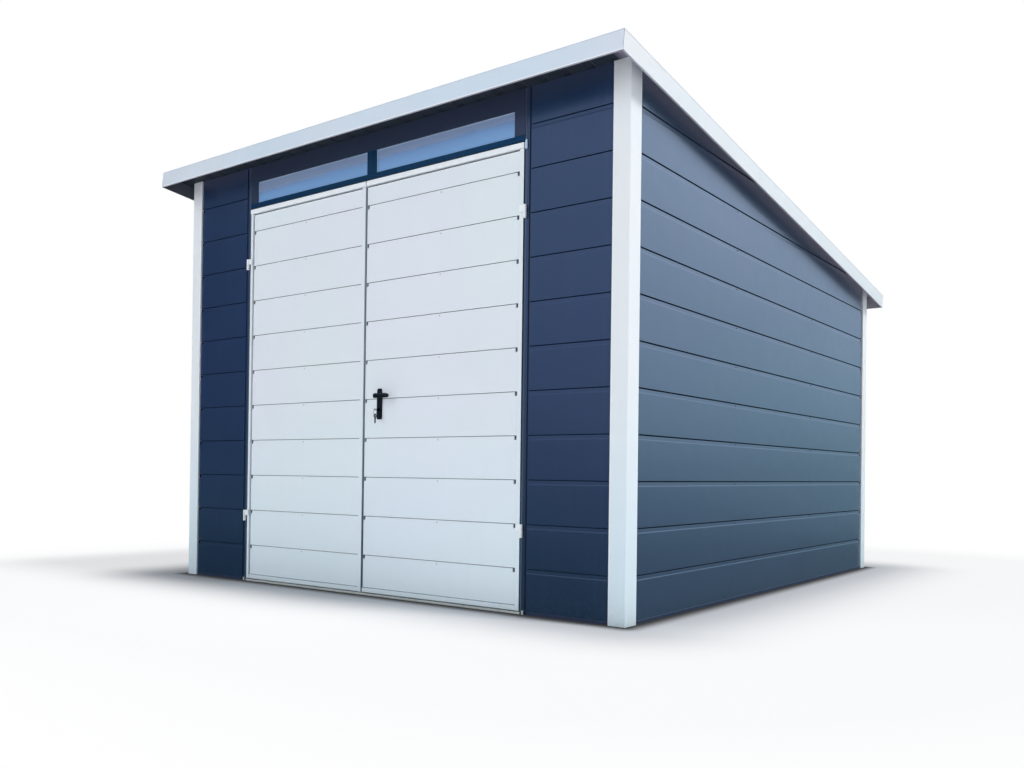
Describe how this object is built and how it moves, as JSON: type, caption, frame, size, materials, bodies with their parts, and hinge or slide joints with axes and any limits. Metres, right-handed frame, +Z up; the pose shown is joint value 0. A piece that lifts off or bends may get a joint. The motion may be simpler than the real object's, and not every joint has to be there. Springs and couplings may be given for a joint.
{
  "type": "metal garage",
  "caption": "Small sheet-metal garage with a pent roof, double outward-opening doors under fixed transom lights, corner posts and a steel frame inside.",
  "frame": {"origin": "on the ground, under the middle of the plan", "axes": "+Z up; the doors face -Y, +X is to the right of somebody who looks at the doors"},
  "size_m": [3.166, 3.77, 2.4129],
  "materials": {
    "navy_wall": "satin powder coat",
    "white_trim": "satin powder coat",
    "white_door": "satin powder coat, lightly grained",
    "transom_glass": "clear float glass",
    "zinc": "galvanised",
    "roof_coating": "matt polyester coating",
    "black_handle": "fine matt",
    "key_metal": "nickel plated"
  },
  "bodies": {
    "shell": {"base_rails": "navy_wall", "door_sill": "zinc", "corner_post_front_left": "white_trim", "corner_post_front_right": "white_trim", "corner_post_back_left": "white_trim", "corner_post_back_right": "white_trim", "front_wall_left": "navy_wall", "front_wall_right": "navy_wall", "left_wall": "navy_wall", "right_wall": "navy_wall", "back_wall": "navy_wall", "door_post_left": "navy_wall", "door_post_right": "navy_wall", "door_head": "navy_wall", "transom_mullion": "navy_wall", "transom_stiles": "navy_wall", "transom_panel": "navy_wall", "transom_glass_left": "transom_glass", "transom_glass_right": "transom_glass", "wall_studs": "zinc", "rafters": "zinc", "front_beam": "zinc", "back_beam": "zinc", "purlins": "zinc", "roof_sheet": "roof_coating", "fascia_front": "white_trim", "fascia_back": "white_trim", "fascia_left": "white_trim", "fascia_right": "white_trim", "frame_hinges_left": "white_trim", "frame_hinges_right": "white_trim"},
    "left_leaf": {"left_leaf_stiles": "white_door", "left_leaf_rails": "white_door", "left_leaf_panel": "white_door", "left_leaf_hinges": "white_trim"},
    "right_leaf": {"right_leaf_stiles": "white_door", "right_leaf_rails": "white_door", "right_leaf_panel": "white_door", "right_leaf_hinges": "white_trim", "handle_plates": "black_handle", "lock_cylinder": "zinc", "keys": "key_metal"},
    "lever": {"lever_handle": "black_handle"}
  },
  "joints": [
    {"name": "left_door", "type": "hinge", "parent": "shell", "child": "left_leaf", "pos_m": [-0.982, -1.708, 1], "axis": [0, 0, -1], "range_deg": [0, 110]},
    {"name": "right_door", "type": "hinge", "parent": "shell", "child": "right_leaf", "pos_m": [0.982, -1.708, 1], "axis": [0, 0, 1], "range_deg": [0, 110]},
    {"name": "lever_turn", "type": "hinge", "parent": "right_leaf", "child": "lever", "pos_m": [0.076, -1.68, 1.017], "axis": [0, 1, 0], "range_deg": [0, 40], "stiffness_Nm_per_rad": 2, "springref_deg": -28.65}
  ]
}
